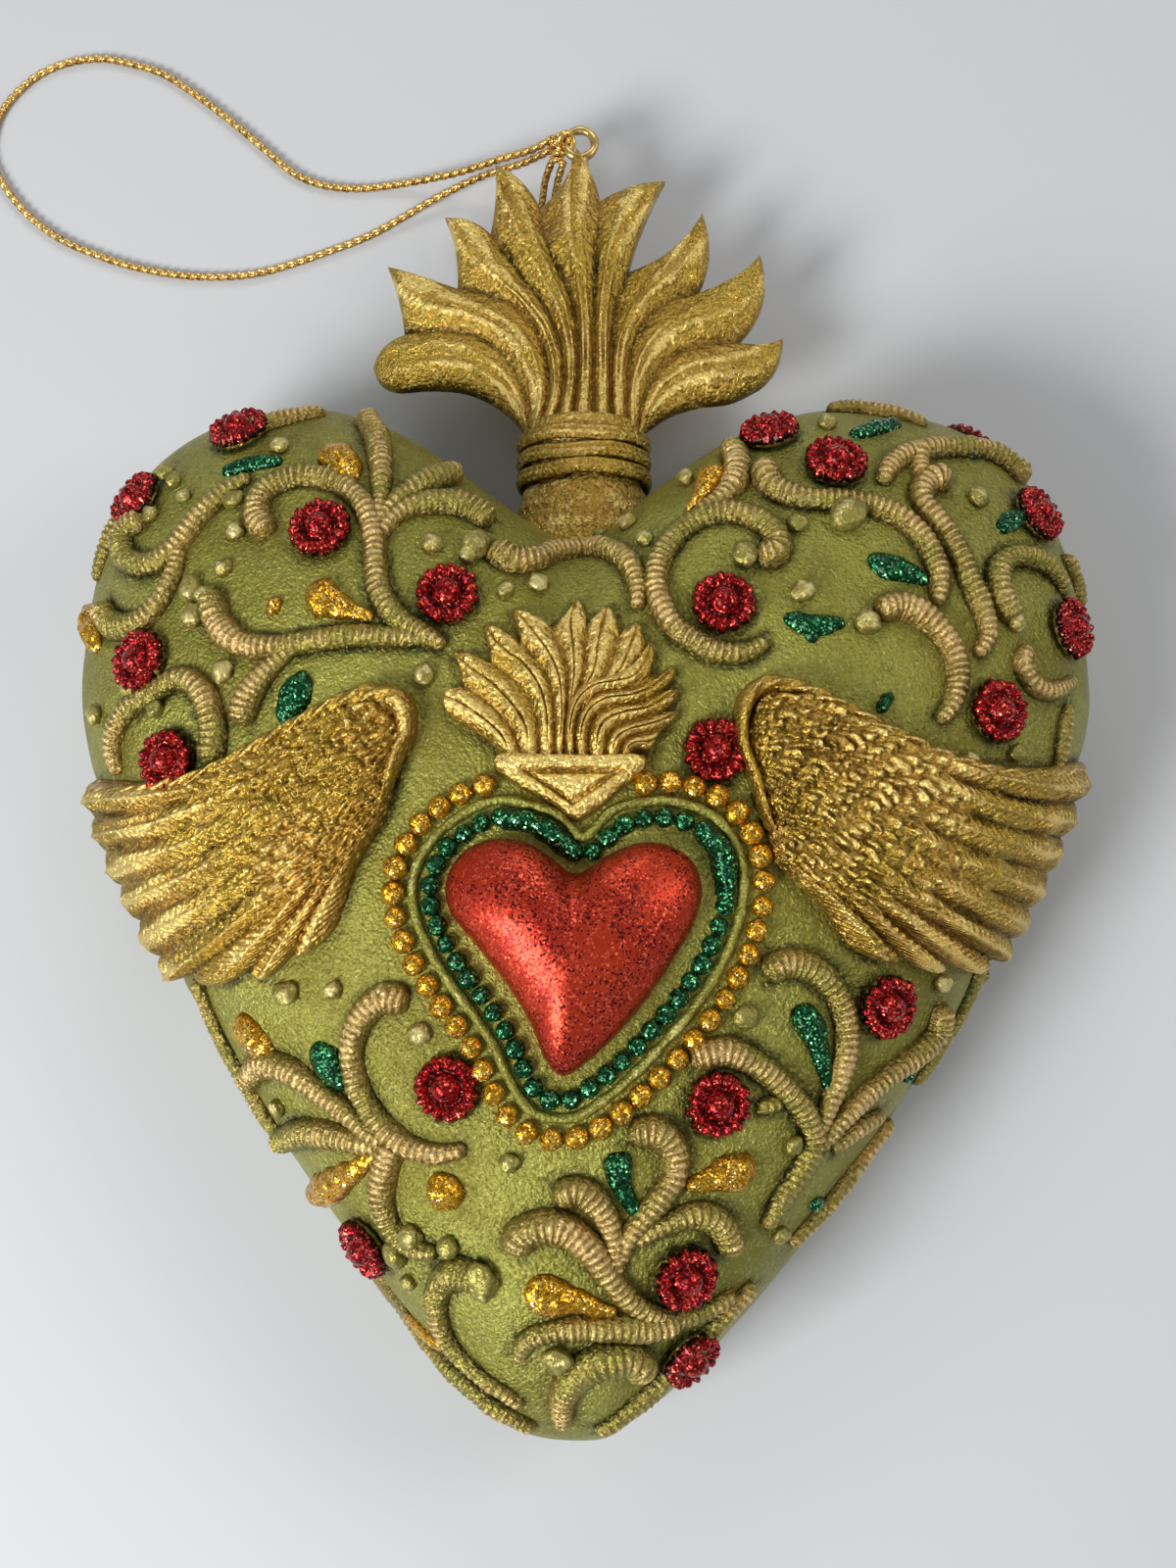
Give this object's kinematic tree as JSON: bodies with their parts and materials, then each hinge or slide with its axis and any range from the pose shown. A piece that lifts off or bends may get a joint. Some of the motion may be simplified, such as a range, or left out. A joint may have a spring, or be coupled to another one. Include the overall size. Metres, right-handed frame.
{
  "type": "hanging heart ornament",
  "caption": "Puffed heart ornament with a flame crown, wings, a small raised heart framed by beads, scrolled vines and studs, hung from a metallic cord.",
  "frame": {"origin": "centre of the ornament's flat back, under the middle of its bounding box without the cord", "axes": "+X to the viewer's right, +Y from the heart's point towards the crown, +Z out of the decorated front; the ornament lies on its back at z = 0"},
  "size_m": [0.1363, 0.173, 0.042],
  "materials": {
    "body_gold": "satin",
    "antique_gold": "satin",
    "scroll_gold": "satin",
    "ruby_glitter": "gloss",
    "satin_red": "satin",
    "emerald_glitter": "gloss",
    "amber_glitter": "gloss",
    "brass_wire": "polished",
    "metallic_cord": "metallic"
  },
  "bodies": {
    "heart": {"heart_shell": "body_gold", "back_plate": "body_gold", "flame_crown": "antique_gold", "neck_band_1": "antique_gold", "neck_band_2": "antique_gold", "neck_band_3": "antique_gold", "hanging_eye": "brass_wire", "red_heart": "satin_red", "heart_rim": "scroll_gold", "green_bead_row": "emerald_glitter", "amber_bead_row": "amber_glitter", "flame_collar": "antique_gold", "inner_flames": "antique_gold", "left_wing": "antique_gold", "right_wing": "antique_gold", "vine_left_crest": "scroll_gold", "vine_left_outer": "scroll_gold", "vine_left_hook": "scroll_gold", "vine_right_crest": "scroll_gold", "vine_right_fork": "scroll_gold", "vine_right_long": "scroll_gold", "vine_right_rim": "scroll_gold", "vine_right_hook": "scroll_gold", "vine_lower_left": "scroll_gold", "vine_bottom_left": "scroll_gold", "vine_bottom_tip": "scroll_gold", "vine_lower_middle": "scroll_gold", "vine_lower_right": "scroll_gold", "ruby_stud_1": "ruby_glitter", "ruby_stud_2": "ruby_glitter", "ruby_stud_3": "ruby_glitter", "ruby_stud_4": "ruby_glitter", "ruby_stud_5": "ruby_glitter", "ruby_stud_6": "ruby_glitter", "ruby_stud_7": "ruby_glitter", "ruby_stud_8": "ruby_glitter", "ruby_stud_9": "ruby_glitter", "ruby_stud_10": "ruby_glitter", "ruby_stud_11": "ruby_glitter", "ruby_stud_12": "ruby_glitter", "ruby_stud_13": "ruby_glitter", "ruby_stud_14": "ruby_glitter", "ruby_stud_15": "ruby_glitter", "ruby_stud_16": "ruby_glitter", "ruby_stud_17": "ruby_glitter", "ruby_stud_18": "ruby_glitter", "ruby_stud_19": "ruby_glitter", "ruby_stud_20": "ruby_glitter", "amber_leaf_crest": "amber_glitter", "amber_leaf_tail": "amber_glitter", "amber_leaf_rim": "amber_glitter", "amber_leaf_foot": "amber_glitter", "green_leaf_left": "emerald_glitter", "green_leaf_right": "emerald_glitter", "green_leaf_lower": "emerald_glitter"},
    "cord": {"cord_knot": "metallic_cord", "cord_loop": "metallic_cord", "cord_tail_left": "metallic_cord", "cord_tail_right": "metallic_cord"}
  },
  "joints": [
    {"name": "cord_swing", "type": "hinge", "parent": "heart", "child": "cord", "pos_m": [-0.00064, 0.0763, 0.0095], "axis": [0, 0, 1], "range_deg": [-180, 0]}
  ]
}
